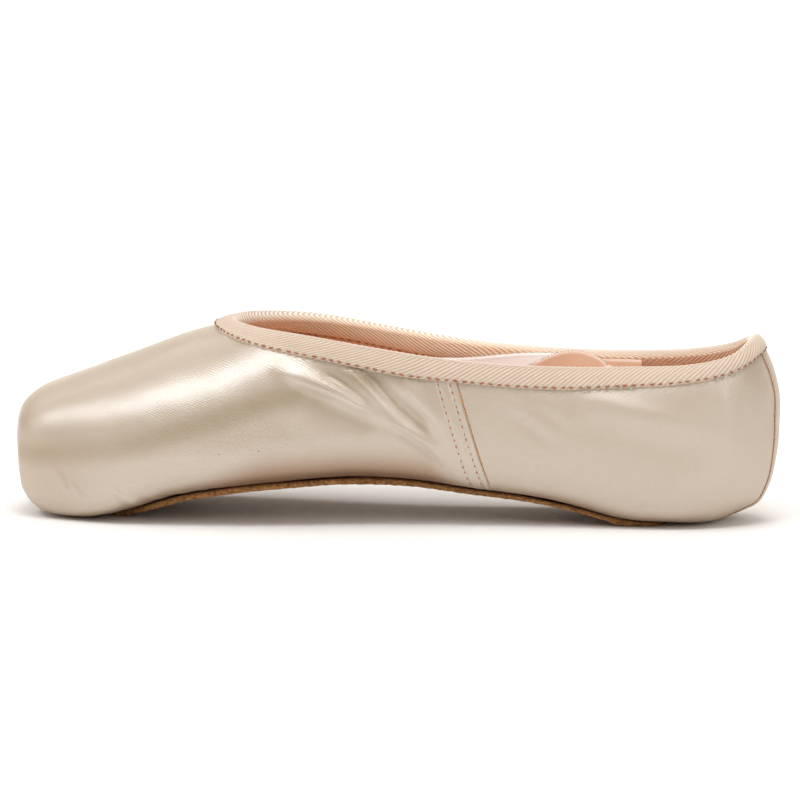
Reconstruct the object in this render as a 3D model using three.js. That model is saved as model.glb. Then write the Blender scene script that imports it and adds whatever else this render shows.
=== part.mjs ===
// A classical pointe shoe, lasted on a straight last that fits either foot.
// Millimetres, +Z up. The toe points to -X and the heel to +X, the sole's flat spots stand on z = 0,
// and the origin is in the middle of the shoe's length and width, on the floor.
import * as THREE from "three";

// Driving sizes of the last
const LENGTH = 239;
const TOE_X = -LENGTH / 2;
const BACK_STRIP_THICKNESS = 0.6;
const SEAT_GAP = 0.4;
const HEEL_X = LENGTH / 2 - BACK_STRIP_THICKNESS - SEAT_GAP;

// One row for each cross-section of the last, from toe to heel.
// half: half width at its widest, level: height of the widest place,
// under: height of the underside, crown: height of the closed top before the opening is cut,
// arch and base: powers of the top's and the underside's curves, where 2 is an ellipse and more is boxier.
const SECTIONS = [
  { x: -120, half: 23.5, level: 24, under: 0, crown: 36.9, arch: 2.3, base: 5 },
  { x: -104, half: 29.4, level: 23, under: 0.1, crown: 42.1, arch: 2.3, base: 6 },
  { x: -92, half: 33.6, level: 22, under: 0.6, crown: 46.6, arch: 2.25, base: 6.5 },
  { x: -80, half: 37, level: 22, under: 3.2, crown: 51.1, arch: 2.2, base: 5 },
  { x: -64, half: 39.2, level: 24, under: 7.9, crown: 57, arch: 2.2, base: 4 },
  { x: -54, half: 39.5, level: 25.5, under: 9.8, crown: 59.8, arch: 2.2, base: 4 },
  { x: -44, half: 39, level: 27, under: 11.3, crown: 64, arch: 2.2, base: 4 },
  { x: -30, half: 37, level: 29, under: 12.6, crown: 71, arch: 2.15, base: 4 },
  { x: -15, half: 34.6, level: 30.5, under: 13.7, crown: 74, arch: 2.1, base: 4 },
  { x: 5, half: 31.4, level: 31, under: 13.3, crown: 73.4, arch: 2.15, base: 4 },
  { x: 25, half: 29.3, level: 30, under: 10.5, crown: 71, arch: 2.15, base: 4 },
  { x: 42, half: 28.3, level: 29, under: 8.3, crown: 67.5, arch: 2.1, base: 4 },
  { x: 60, half: 27.8, level: 28, under: 4.4, crown: 62.5, arch: 2, base: 4 },
  { x: 76, half: 27.3, level: 29.5, under: 1.5, crown: 60, arch: 1.9, base: 5 },
  { x: 86, half: 26.8, level: 32, under: 1.1, crown: 60.5, arch: 1.9, base: 6 },
  { x: 95, half: 26.2, level: 34.5, under: 0.7, crown: 61, arch: 1.9, base: 6 },
  { x: 101, half: 25.8, level: 36, under: 1.5, crown: 61.5, arch: 1.9, base: 6 },
  { x: 108, half: 25.4, level: 36.5, under: 3.2, crown: 60.8, arch: 1.9, base: 5 },
  { x: 113, half: 25, level: 36.3, under: 2.8, crown: 58.2, arch: 1.9, base: 5 },
  { x: 120, half: 24.5, level: 36, under: 2.4, crown: 55.3, arch: 1.9, base: 5 },
];
const WALL_POWER = 2.45; // at the widest place

// How the two ends close, in plan, above the widest level and below it:
// reach is the length of the rounding, and power is its curve's.
const TOE_END = {
  x: TOE_X,
  plan: { reach: 16, power: 3 },
  up: { reach: 16, power: 4 },
  down: { reach: 21, power: 2.9 },
};
const HEEL_END = {
  x: HEEL_X,
  plan: { reach: 30, power: 2.1 },
  up: { reach: 12, power: 2 },
  down: { reach: 12, power: 2 },
};

// The upper's own top edge, which the binding covers: its height, and how far down the binding reaches.
const COLLAR = [
  { x: -62, z: 60.4, depth: 5.6 },
  { x: -52, z: 60.3, depth: 5.8 },
  { x: -46, z: 60.1, depth: 6 },
  { x: -40, z: 59.6, depth: 6.2 },
  { x: -31, z: 58.7, depth: 6.5 },
  { x: -16, z: 56.5, depth: 6.4 },
  { x: 5, z: 52.9, depth: 6.3 },
  { x: 25, z: 50.4, depth: 6.2 },
  { x: 42, z: 49.2, depth: 6.2 },
  { x: 60, z: 48.7, depth: 6.2 },
  { x: 76, z: 48.9, depth: 6 },
  { x: 94, z: 50, depth: 5 },
  { x: 102, z: 51.4, depth: 4.6 },
  { x: 107, z: 52.7, depth: 4.4 },
  { x: 111, z: 54.9, depth: 4.4 },
  { x: 120, z: 62, depth: 4.4 },
];

// The upper's wall: satin over canvas, with paste layers that stiffen the toe box.
const QUARTER_WALL = 1.6;
const BOX_WALL = 3;
const BOX_ENDS = { stiff: -75, soft: -35 };

// The outsole's half width, thickness of the leather, and height of its lowest line.
const SOLE = [
  { x: -91, half: 1.2, thick: 0.9, bottom: 0 },
  { x: -89, half: 11, thick: 1, bottom: 0 },
  { x: -84, half: 18, thick: 1.4, bottom: 0 },
  { x: -76, half: 23.5, thick: 2, bottom: 2.4 },
  { x: -62, half: 27.5, thick: 2.1, bottom: 6 },
  { x: -48, half: 28.4, thick: 2.1, bottom: 8.6 },
  { x: -32, half: 26, thick: 2.1, bottom: 10.4 },
  { x: -15, half: 22, thick: 2, bottom: 11.2 },
  { x: 5, half: 19.2, thick: 2, bottom: 10.8 },
  { x: 25, half: 18, thick: 1.8, bottom: 8.8 },
  { x: 45, half: 18, thick: 1.6, bottom: 6 },
  { x: 60, half: 18.2, thick: 1.4, bottom: 2.5 },
  { x: 70, half: 18, thick: 1.2, bottom: 0.3 },
  { x: 76, half: 16.8, thick: 1, bottom: 0 },
  { x: 84, half: 11.5, thick: 0.8, bottom: 0 },
  { x: 88, half: 1.2, thick: 0.7, bottom: 0 },
];
const SOLE_ACROSS = [-1, -0.94, -0.6, 0, 0.6, 0.94, 1]; // shares of the half width
const SOLE_BEVEL = 0.3;
const SOLE_STEPS = 32;
const END_CROWDING = 0.7;
const LASTING_MARGIN = 9; // how far the upper is turned in under the sole

// The insole's half width. It lies on the turned-in wall and steps down between its edges.
const INSOLE = [
  { x: -101, half: 1.2 },
  { x: -98, half: 13 },
  { x: -88, half: 21.5 },
  { x: -62, half: 29 },
  { x: -46, half: 29.4 },
  { x: -15, half: 24 },
  { x: 10, half: 20.4 },
  { x: 60, half: 20 },
  { x: 84, half: 17 },
  { x: 96, half: 9.5 },
  { x: 99, half: 1.2 },
];
const INSOLE_THICKNESS = 2;
const INSOLE_STEPS = 30;
const STEPPED_HALF = 8; // the opening's half width from which the insole steps down into it
const STEP_FOOT = 0.97; // the step's foot, as a share of its top's half width
const LEAST_STEP = 0.3; // the step's least half width, as a share of the insole's
const STEP_CLEARANCE = 0.8; // between the step's side and the turned-in edge
const LINING_GAP = 0.7; // between the insole and the coarser faces of the wall's inside

// Where the wall's lines start: low for the underside, mid for the wall, high for the opening.
const SPINE = {
  toe: { low: -72, mid: -100, high: -38 },
  heel: { low: 78, mid: 90, high: 90 },
};
const FAN_STEPS = 7; // wall lines in a quarter turn of the toe or heel
const SIDE = { quarterSteps: 8, vampSteps: 16, seamMargin: 6 }; // wall lines behind and before the side seam
const WALL_STEPS = 17; // points down each wall line
const LINE_DETAIL = 72; // points on a wall line before it is drawn again with few
const LOW_SHARE = 0.4; // the part of a wall line that fans from the low spine to the middle one
const EVENING = 4; // neighbours on each side that share a wall line's spacing
const COLLAR_BAND = 8; // mm below the collar where the points lie twice as close
const BEND_WEIGHT = 14; // mm of length that a radian of bend counts as, to crowd points at bends
const HALVINGS = 32; // of a search for the place where a line crosses a surface
const BEYOND = 160; // mm, farther than any ray runs inside the last
const PROBE = 0.02; // mm, the step that measures a slope

// The side seam, where the vamp's folded edge lies on the quarter.
const SEAM = {
  x: 25,
  lean: 14, // how far the seam's foot is behind its top
  reach: 70, // how far from the seam the wall lines lean with it
  width: 7.2,
  step: 0.5,
  foldRun: 0.3,
  frontRun: 1.2,
  soleMargin: 1,
  soleFade: 4,
  bindingFade: 1.5,
};

const BINDING = { thick: 1.1, hem: 0.88, shoulder: 0.99, crest: 1.2, roll: 0.9, lip: 0.2 };
const BACK_STRIP = { half: 6, endX: 101, steps: 16 };

// The ribbon stands on its edge inside the shoe, wound up on itself.
// Its route in plan, and the height of its upper edge.
const RIBBON = { width: 23, thick: 0.7, steps: 84 };
const RIBBON_ROUTE = [
  { x: 75.5, y: 15, z: 47.6 },
  { x: 65, y: 18, z: 47.4 },
  { x: 48, y: 21.2, z: 46.6 },
  { x: 28, y: 22.1, z: 46.4 },
  { x: 12, y: 19.6, z: 46.8 },
  { x: 3, y: 12, z: 47.6 },
  { x: 6, y: 5, z: 48.6 },
  { x: 20, y: 5.5, z: 48.6 },
  { x: 38, y: 8, z: 50 },
  { x: 55, y: 8.5, z: 49.6 },
  { x: 69, y: 5, z: 48.4 },
  { x: 74, y: -3, z: 47 },
  { x: 70, y: -12, z: 46 },
  { x: 58, y: -17.5, z: 45.4 },
  { x: 45, y: -17.5, z: 45.8 },
  { x: 38.5, y: -12.5, z: 47 },
  { x: 42.5, y: -5.5, z: 48.4 },
  { x: 49, y: 0.5, z: 50.8 },
  { x: 56, y: 2.5, z: 51.8 },
  { x: 62.5, y: -0.5, z: 50.4 },
  { x: 66.3, y: -7, z: 48.4 },
];

const clamp = (v, lo = 0, hi = 1) => Math.min(hi, Math.max(lo, v));
const mix = (a, b, t) => a + (b - a) * t;
const smooth = (t) => {
  const c = clamp(t);
  return c * c * (3 - 2 * c);
};

// A natural cubic spline through one column of a table.
function spline(rows, column) {
  const n = rows.length;
  const x = rows.map((r) => r.x);
  const y = rows.map((r) => r[column]);
  const bend = new Array(n).fill(0);
  const work = new Array(n).fill(0);
  for (let i = 1; i < n - 1; i++) {
    const share = (x[i] - x[i - 1]) / (x[i + 1] - x[i - 1]);
    const pivot = share * bend[i - 1] + 2;
    const jump = (y[i + 1] - y[i]) / (x[i + 1] - x[i]) - (y[i] - y[i - 1]) / (x[i] - x[i - 1]);
    bend[i] = (share - 1) / pivot;
    work[i] = ((6 * jump) / (x[i + 1] - x[i - 1]) - share * work[i - 1]) / pivot;
  }
  bend[n - 1] = 0;
  for (let i = n - 2; i >= 0; i--) bend[i] = bend[i] * bend[i + 1] + work[i];
  return (at) => {
    const v = clamp(at, x[0], x[n - 1]);
    let i = 0;
    while (i < n - 2 && v > x[i + 1]) i++;
    const step = x[i + 1] - x[i];
    const a = (x[i + 1] - v) / step;
    const b = 1 - a;
    const curve = ((a ** 3 - a) * bend[i] + (b ** 3 - b) * bend[i + 1]) * (step * step) / 6;
    return a * y[i] + b * y[i + 1] + curve;
  };
}

const columns = (rows, ...names) =>
  Object.fromEntries(names.map((name) => [name, spline(rows, name)]));
const last = columns(SECTIONS, "half", "level", "under", "crown", "arch", "base");
const sole = columns(SOLE, "half", "thick", "bottom");
const collarHeight = spline(COLLAR, "z");
const bindingDepth = spline(COLLAR, "depth");

// 0 at the very ends of the last, 1 between their roundings.
function rounding(x, way) {
  return [TOE_END, HEEL_END].reduce((share, end) => {
    const { reach, power } = end[way];
    const u = clamp(Math.abs(x - end.x) / reach);
    return share * (1 - (1 - u) ** power) ** (1 / power);
  }, 1);
}

function section(x) {
  const level = last.level(x);
  return {
    half: last.half(x) * rounding(x, "plan"),
    level,
    up: (last.crown(x) - level) * rounding(x, "up"),
    down: (level - last.under(x)) * rounding(x, "down"),
    arch: last.arch(x),
    base: last.base(x),
  };
}

// Below 0 inside the last, 0 on its surface.
function gauge(x, y, z) {
  if (x <= TOE_X || x >= HEEL_X) return 1000;
  const s = section(x);
  const rise = (z - s.level) / (z > s.level ? s.up : s.down);
  const power = mix(WALL_POWER, rise > 0 ? s.arch : s.base, smooth(Math.abs(rise)));
  return Math.abs(y / s.half) ** power + Math.abs(rise) ** power - 1;
}

// The point where a ray from inside the last meets its surface.
function castRay(origin, direction) {
  let near = 0;
  let far = BEYOND;
  for (let i = 0; i < HALVINGS; i++) {
    const middle = (near + far) / 2;
    const p = direction.clone().multiplyScalar(middle).add(origin);
    if (gauge(p.x, p.y, p.z) < 0) near = middle;
    else far = middle;
  }
  return direction.clone().multiplyScalar(near).add(origin);
}

function outward(p) {
  return new THREE.Vector3(
    gauge(p.x + PROBE, p.y, p.z) - gauge(p.x - PROBE, p.y, p.z),
    gauge(p.x, p.y + PROBE, p.z) - gauge(p.x, p.y - PROBE, p.z),
    gauge(p.x, p.y, p.z + PROBE) - gauge(p.x, p.y, p.z - PROBE),
  ).normalize();
}

const spinePoint = (x) => new THREE.Vector3(x, 0, last.level(x));

function wallThickness(x) {
  const soft = smooth((x - BOX_ENDS.stiff) / (BOX_ENDS.soft - BOX_ENDS.stiff));
  return mix(BOX_WALL, QUARTER_WALL, soft);
}

// The wall lines of the near side, from the heel's back round to the toe's tip.
// Each has a heading in plan and the places on the spine that its rays start from.
function nearStations() {
  const quarter = Math.PI / 2;
  const heel = [];
  const toe = [];
  for (let i = 0; i < FAN_STEPS; i++) {
    heel.push({ heading: (-quarter * i) / FAN_STEPS, ...SPINE.heel, raised: 0 });
    toe.push({ heading: -quarter - (quarter * (i + 1)) / FAN_STEPS, ...SPINE.toe, raised: 0 });
  }
  const seamFront = SEAM.x - SEAM.width;
  const seamEdges = [SEAM.x + SEAM.foldRun, SEAM.x - SEAM.foldRun, seamFront, seamFront - SEAM.frontRun];
  const row = (from, to, steps) => Array.from({ length: steps + 1 }, (_, i) => mix(from, to, i / steps));
  const plain = [
    ...row(SPINE.heel.mid, SEAM.x + SIDE.seamMargin, SIDE.quarterSteps),
    ...row(seamFront - SIDE.seamMargin, SPINE.toe.mid, SIDE.vampSteps),
  ];
  const side = [...plain, ...seamEdges]
    .sort((a, b) => b - a)
    .map((x) => {
      const lean = SEAM.lean * (1 - smooth(Math.abs(x - SEAM.x) / SEAM.reach));
      const toHeel = clamp((x - SEAM.x) / (SPINE.heel.mid - SEAM.x));
      const toToe = clamp((SEAM.x - x) / (SEAM.x - SPINE.toe.mid));
      const shifted = (place) =>
        x + toHeel * (SPINE.heel[place] - SPINE.heel.mid) + toToe * (SPINE.toe[place] - SPINE.toe.mid);
      return {
        heading: -quarter,
        low: shifted("low") + lean / 2,
        mid: x,
        high: shifted("high") - lean / 2,
        raised: x < SEAM.x && x >= seamFront ? SEAM.step : 0,
      };
    });
  return [...heel, ...side, ...toe];
}

const mirrored = (station) => ({ ...station, heading: -station.heading });

const near = nearStations();
const STATIONS = [...near, ...near.slice(1, -1).reverse().map(mirrored)];

function rayOf(station, share, lift) {
  const start = share < LOW_SHARE
    ? mix(station.low, station.mid, smooth(share / LOW_SHARE))
    : mix(station.mid, station.high, smooth((share - LOW_SHARE) / (1 - LOW_SHARE)));
  const direction = new THREE.Vector3(
    Math.cos(lift) * Math.cos(station.heading),
    Math.cos(lift) * Math.sin(station.heading),
    Math.sin(lift),
  );
  return castRay(spinePoint(start), direction);
}

// The lift at which a wall line reaches an opening's edge.
function edgeLift(station, share, from, to, isInOpening) {
  let wall = from;
  let opening = to;
  for (let i = 0; i < HALVINGS; i++) {
    const middle = (wall + opening) / 2;
    if (isInOpening(rayOf(station, share, middle))) opening = middle;
    else wall = middle;
  }
  return wall;
}

const openingHalf = (x) => sole.half(x) - LASTING_MARGIN;
const isUnderOpening = (p) => Math.abs(p.y) < openingHalf(p.x) && p.x > SOLE[0].x && p.x < SOLE.at(-1).x;
const isAboveCollar = (p) => p.z > collarHeight(p.x);

// A wall line as many points, from the underside's opening up to the collar.
function wallLine(station) {
  const right = Math.PI / 2;
  const from = edgeLift(station, 0, 0, -right, isUnderOpening);
  const to = edgeLift(station, 1, 0, right, isAboveCollar);
  const points = [];
  for (let i = 0; i <= LINE_DETAIL; i++) {
    const share = i / LINE_DETAIL;
    points.push(rayOf(station, share, mix(from, to, share)));
  }
  return points;
}

// Points along a polyline at the given distances from its end.
function fromEnd(points, distance) {
  let left = distance;
  for (let i = points.length - 1; i > 0; i--) {
    const step = points[i].distanceTo(points[i - 1]);
    if (left <= step) return points[i].clone().lerp(points[i - 1], left / step);
    left -= step;
  }
  return points[0].clone();
}

// How far along a wall line each of its points lies, from 0 to 1,
// where bends and the band at the collar count as extra length.
function spacing(points) {
  const measure = [0];
  let left = 0;
  for (let i = 1; i < points.length; i++) left += points[i].distanceTo(points[i - 1]);
  for (let i = 1; i < points.length; i++) {
    const step = points[i].clone().sub(points[i - 1]);
    const next = i + 1 < points.length ? points[i + 1].clone().sub(points[i]) : step;
    const weight = left < COLLAR_BAND ? 2 : 1;
    measure.push(measure[i - 1] + weight * step.length() + BEND_WEIGHT * step.angleTo(next));
    left -= step.length();
  }
  return measure.map((m) => m / measure.at(-1));
}

const LINES = STATIONS.map(wallLine);
const SPACINGS = LINES.map(spacing);

// A wall line drawn again with a few points. Neighbouring lines share their spacing, to keep the rows even.
function resample(line) {
  const count = LINES.length;
  const measure = SPACINGS[line].map((_, i) => {
    let sum = 0;
    for (let k = -EVENING; k <= EVENING; k++) sum += SPACINGS[(line + k + count) % count][i];
    return sum / (2 * EVENING + 1);
  });
  const points = LINES[line];
  const out = [];
  for (let k = 0; k <= WALL_STEPS; k++) {
    const want = k / WALL_STEPS;
    let i = 1;
    while (i < points.length - 1 && measure[i] < want) i++;
    const share = clamp((want - measure[i - 1]) / (measure[i] - measure[i - 1]));
    out.push(points[i - 1].clone().lerp(points[i], share));
  }
  return out;
}

const offset = (p, distance) => p.clone().addScaledVector(outward(p), distance);

// A closed surface through a row of closed loops. A ring of loops closes on itself;
// otherwise the first and last loops are capped.
function loft(loops, ring) {
  const size = loops[0].length;
  const positions = loops.flat().flatMap((p) => [p.x, p.y, p.z]);
  const index = [];
  const bands = ring ? loops.length : loops.length - 1;
  for (let i = 0; i < bands; i++) {
    const here = i * size;
    const there = ((i + 1) % loops.length) * size;
    for (let j = 0; j < size; j++) {
      const k = (j + 1) % size;
      index.push(here + j, there + j, there + k, here + j, there + k, here + k);
    }
  }
  if (!ring) {
    for (const [start, flip] of [[0, true], [(loops.length - 1) * size, false]]) {
      const centre = positions.length / 3;
      const middle = new THREE.Vector3();
      const loop = loops[start / size];
      loop.forEach((p) => middle.addScaledVector(p, 1 / size));
      positions.push(middle.x, middle.y, middle.z);
      for (let j = 0; j < size; j++) {
        const a = start + j;
        const b = start + ((j + 1) % size);
        index.push(centre, flip ? a : b, flip ? b : a);
      }
    }
  }
  const geometry = new THREE.BufferGeometry();
  geometry.setAttribute("position", new THREE.Float32BufferAttribute(positions, 3));
  geometry.setIndex(index);
  geometry.computeVertexNormals();
  return geometry;
}

// A loop turned the other way round, for a loft that would face inwards.
const reversed = (loops) => loops.map((loop) => [...loop].reverse());

// The folded edge of the seam shows from the binding down to where the wall turns in under the sole.
function raisedAt(station, p) {
  const aboveSole = smooth((Math.abs(p.y) - sole.half(p.x) - SEAM.soleMargin) / SEAM.soleFade);
  const belowBinding = smooth((collarHeight(p.x) - bindingDepth(p.x) - p.z) / SEAM.bindingFade);
  return station.raised * aboveSole * belowBinding;
}

function upperGeometry() {
  const loops = STATIONS.map((station, i) => {
    const skin = resample(i);
    const outer = skin.map((p) => offset(p, raisedAt(station, p)));
    const inner = skin.map((p) => offset(p, -wallThickness(p.x)));
    return [...outer, ...inner.reverse()];
  });
  return loft(reversed(loops), true);
}

// The binding is a tape folded over the collar: its section is a channel, open below.
function bindingGeometry() {
  const { thick, hem, shoulder, crest, roll, lip } = BINDING;
  const loops = LINES.map((line) => {
    const edge = line.at(-1);
    const depth = bindingDepth(edge.x);
    const normal = outward(edge);
    const up = edge.clone().sub(line.at(-3)).normalize();
    const wall = wallThickness(edge.x);
    const outside = SEAT_GAP;
    const inside = -wall - SEAT_GAP;
    const at = (below, out) => (below > 0
      ? offset(fromEnd(line, below), out)
      : edge.clone().addScaledVector(up, -below).addScaledVector(normal, out));
    return [
      at(depth, outside),
      at(depth - lip, outside + hem),
      at(depth / 2, outside + thick),
      at(lip, outside + shoulder),
      at(-roll, outside),
      at(-crest, -wall / 2),
      at(-roll, inside),
      at(lip, inside - shoulder),
      at(depth / 2, inside - thick),
      at(depth - lip, inside - hem),
      at(depth, inside),
      at(depth / 2, inside),
      at(-SEAT_GAP, inside),
      at(-SEAT_GAP, outside),
      at(depth / 2, outside),
    ];
  });
  return loft(reversed(loops), true);
}

// The lower surface of the last at x and y, for what lies against it.
function undersideHeight(x, y) {
  return castRay(spinePoint(x).setY(y), new THREE.Vector3(0, 0, -1)).z;
}

// Places along a table, closer together towards its two ends, where the outline is round.
function roundedStops(rows, count) {
  return Array.from({ length: count + 1 }, (_, i) => {
    const even = i / count;
    const eased = (1 - Math.cos(Math.PI * even)) / 2;
    return mix(rows[0].x, rows.at(-1).x, mix(even, eased, END_CROWDING));
  });
}

function outsoleGeometry() {
  const loops = roundedStops(SOLE, SOLE_STEPS).map((x) => {
    const half = sole.half(x);
    const ground = Math.max(0, sole.bottom(x));
    const top = SOLE_ACROSS.map((a) => {
      const y = a * half;
      return new THREE.Vector3(x, y, undersideHeight(x, y) - SEAT_GAP);
    });
    const centre = undersideHeight(x, 0) - SEAT_GAP;
    const flat = Math.min(ground, centre - sole.thick(x));
    const bottom = SOLE_ACROSS.map((a, i) => {
      const bevel = Math.abs(a) === 1 ? SOLE_BEVEL : 0;
      const lifted = (top[i].z - centre) * smooth(ground);
      return new THREE.Vector3(x, a * half, Math.max(0, flat + lifted) + bevel);
    });
    return [...top, ...bottom.reverse()];
  });
  return loft(loops, false);
}

// The inner face of the turned-in wall, where the insole lies.
function liningHeight(x, y) {
  const z = undersideHeight(x, y);
  const level = -outward(new THREE.Vector3(x, y, z)).z;
  return z + (wallThickness(x) + LINING_GAP) / level;
}

function insoleGeometry() {
  const half = spline(INSOLE, "half");
  const loops = roundedStops(INSOLE, INSOLE_STEPS).map((x) => {
    const wide = half(x);
    const open = openingHalf(x);
    const drop = smooth(open - STEPPED_HALF);
    const edge = Math.max(open - STEP_CLEARANCE, wide * LEAST_STEP);
    const across = [-wide, -edge, -edge * STEP_FOOT, 0, edge * STEP_FOOT, edge, wide];
    const lined = across.map((y) => liningHeight(x, y));
    const bottom = across.map((y, i) => {
      const inside = i > 1 && i < 5;
      return new THREE.Vector3(x, y, inside ? mix(lined[i], undersideHeight(x, y), drop) : lined[i]);
    });
    const top = across.map((y, i) => new THREE.Vector3(x, y, lined[i] + INSOLE_THICKNESS));
    return [...top, ...bottom.reverse()];
  });
  return loft(loops, false);
}

// The strip over the seam at the heel's back runs from the binding down and under the heel.
function backStripGeometry() {
  const { half, endX, steps } = BACK_STRIP;
  const origin = spinePoint(SPINE.heel.mid);
  const point = (lift, heading) => castRay(origin, new THREE.Vector3(
    Math.cos(lift) * Math.cos(heading),
    Math.cos(lift) * Math.sin(heading),
    Math.sin(lift),
  ));
  const top = fromEnd(LINES[0], bindingDepth(LINES[0].at(-1).x) + 2 * SEAT_GAP);
  const start = Math.atan2(top.z - origin.z, top.x - origin.x);
  let back = start;
  let under = -Math.PI / 2;
  for (let i = 0; i < HALVINGS; i++) {
    const middle = (back + under) / 2;
    if (point(middle, 0).x < endX) under = middle;
    else back = middle;
  }
  const across = [-1, -0.5, 0, 0.5, 1];
  const loops = [];
  for (let k = 0; k <= steps; k++) {
    const lift = mix(start, back, k / steps);
    const reach = point(lift, 0).x - origin.x;
    const row = across.map((a) => point(lift, Math.asin(clamp((a * half) / reach, -1, 1))));
    const inside = row.map((p) => offset(p, SEAT_GAP));
    const outside = row.map((p) => offset(p, SEAT_GAP + BACK_STRIP_THICKNESS));
    loops.push([...outside, ...inside.reverse()]);
  }
  return loft(loops, false);
}

function ribbonGeometry() {
  const { width, thick, steps } = RIBBON;
  const stops = RIBBON_ROUTE.map((r) => new THREE.Vector3(r.x, r.y, r.z));
  const route = new THREE.CatmullRomCurve3(stops, false, "centripetal");
  const loops = route.getSpacedPoints(steps).map((edge, i) => {
    const along = route.getTangentAt(i / steps);
    const side = new THREE.Vector3(along.y, -along.x, 0).normalize().multiplyScalar(thick / 2);
    const foot = edge.clone().setZ(edge.z - width);
    return [edge.clone().add(side), edge.clone().sub(side), foot.clone().sub(side), foot.clone().add(side)];
  });
  return loft(loops, false);
}

const materials = {
  satin: new THREE.MeshStandardMaterial({ color: 0xdcc8b8, roughness: 0.38, metalness: 0 }),
  binding: new THREE.MeshStandardMaterial({ color: 0xe0c9b2, roughness: 0.75, metalness: 0 }),
  leather: new THREE.MeshStandardMaterial({ color: 0x7a5238, roughness: 0.8, metalness: 0 }),
  ribbon: new THREE.MeshStandardMaterial({ color: 0xf0dcd2, roughness: 0.3, metalness: 0 }),
  lining: new THREE.MeshStandardMaterial({ color: 0xe3a47c, roughness: 0.85, metalness: 0 }),
};

function piece(name, geometry, material) {
  const mesh = new THREE.Mesh(geometry, material);
  mesh.name = name;
  return mesh;
}

const shoe = new THREE.Group();
shoe.add(
  piece("upper", upperGeometry(), materials.satin),
  piece("binding", bindingGeometry(), materials.binding),
  piece("outsole", outsoleGeometry(), materials.leather),
  piece("insole", insoleGeometry(), materials.lining),
  piece("back_strip", backStripGeometry(), materials.satin),
  piece("ribbon", ribbonGeometry(), materials.ribbon),
);

export default shoe;
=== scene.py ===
import math

import bpy
import numpy as np
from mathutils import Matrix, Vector


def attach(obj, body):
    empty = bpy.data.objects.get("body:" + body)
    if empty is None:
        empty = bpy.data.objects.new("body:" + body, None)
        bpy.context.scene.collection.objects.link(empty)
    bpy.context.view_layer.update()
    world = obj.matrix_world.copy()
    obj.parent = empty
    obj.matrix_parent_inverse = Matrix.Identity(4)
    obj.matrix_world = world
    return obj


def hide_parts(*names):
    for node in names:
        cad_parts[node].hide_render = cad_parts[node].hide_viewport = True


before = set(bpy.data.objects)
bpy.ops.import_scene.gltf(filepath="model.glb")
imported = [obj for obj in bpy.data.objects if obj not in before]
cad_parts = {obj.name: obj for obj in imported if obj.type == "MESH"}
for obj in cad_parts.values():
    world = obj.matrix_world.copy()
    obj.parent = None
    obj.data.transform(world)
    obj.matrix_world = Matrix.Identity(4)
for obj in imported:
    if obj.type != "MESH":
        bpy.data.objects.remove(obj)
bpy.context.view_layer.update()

# A satin pointe shoe. All sizes are in millimetres until a mesh is made.
# The toe points to -X, the heel to +X, the side that the picture shows to -Y.
METRES = 0.001
rng = np.random.default_rng(7)

# The last: one row for each cross-section, from toe to heel.
SECTION_COLUMNS = ("x", "half", "level", "under", "crown", "arch", "base")
SECTIONS = (
    (-120, 23.5, 24, 0, 36.9, 2.3, 5),
    (-104, 29.4, 23, 0.1, 42.1, 2.3, 6),
    (-92, 33.6, 22, 0.6, 46.6, 2.25, 6.5),
    (-80, 37, 22, 3.2, 51.1, 2.2, 5),
    (-64, 39.2, 24, 7.9, 57, 2.2, 4),
    (-54, 39.5, 25.5, 9.8, 59.8, 2.2, 4),
    (-44, 39, 27, 11.3, 64, 2.2, 4),
    (-30, 37, 29, 12.6, 71, 2.15, 4),
    (-15, 34.6, 30.5, 13.7, 74, 2.1, 4),
    (5, 31.4, 31, 13.3, 73.4, 2.15, 4),
    (25, 29.3, 30, 10.5, 71, 2.15, 4),
    (42, 28.3, 29, 8.3, 67.5, 2.1, 4),
    (60, 27.8, 28, 4.4, 62.5, 2, 4),
    (76, 27.3, 29.5, 1.5, 60, 1.9, 5),
    (86, 26.8, 32, 1.1, 60.5, 1.9, 5),
    (95, 26.2, 34.5, 0.5, 61, 1.9, 4),
    (101, 25.8, 36, 1.4, 61.5, 1.9, 3.6),
    (108, 25.4, 36.5, 4.2, 60.8, 1.9, 3.2),
    (113, 25, 36.3, 6.3, 58.2, 1.9, 3),
    (120, 24.5, 36, 8.5, 55.3, 1.9, 3),
)
WALL_POWER = 2.45
TOE_X, HEEL_X = -119.5, 118.5
ENDS = (
    {"x": TOE_X, "plan": (16, 3), "up": (16, 4), "down": (21, 2.9)},
    {"x": HEEL_X, "plan": (30, 2.1), "up": (12, 2), "down": (8, 2.4)},
)

# The upper's top edge: its height, and how far down the binding reaches.
COLLAR_COLUMNS = ("x", "z", "depth")
COLLAR = (
    (-62, 60.9, 5.6), (-52, 60.7, 5.8), (-46, 60.2, 6), (-40, 59.6, 6.2), (-31, 58.7, 6.5),
    (-16, 56.5, 6.4), (5, 52.9, 6.3), (25, 50.4, 6.2), (42, 49.2, 6.2), (60, 48.7, 6.2), (76, 48.9, 6),
    (94, 50, 5), (102, 51.6, 4.6), (107, 53.6, 4.4), (111, 56.4, 4.4), (120, 63.6, 4.4),
)
SOLE_COLUMNS = ("x", "half", "thick", "bottom")
SOLE = (
    (-91, 1.2, 0.9, 0), (-89, 11, 1, 0), (-84, 18, 1.4, 0), (-76, 23.5, 2, 2.4),
    (-62, 27.5, 2.1, 6), (-48, 28.4, 2.1, 8.6), (-32, 26, 2.1, 10.4), (-15, 22, 2, 11.2),
    (5, 19.2, 2, 10.8), (25, 18, 1.8, 8.8), (45, 18, 1.6, 6), (60, 18.2, 1.4, 2.5),
    (70, 18, 1.2, 0.3), (76, 16.8, 1, 0), (84, 11.5, 0.8, 0), (88, 1.2, 0.7, 0),
)
INSOLE_COLUMNS = ("x", "half")
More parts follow.
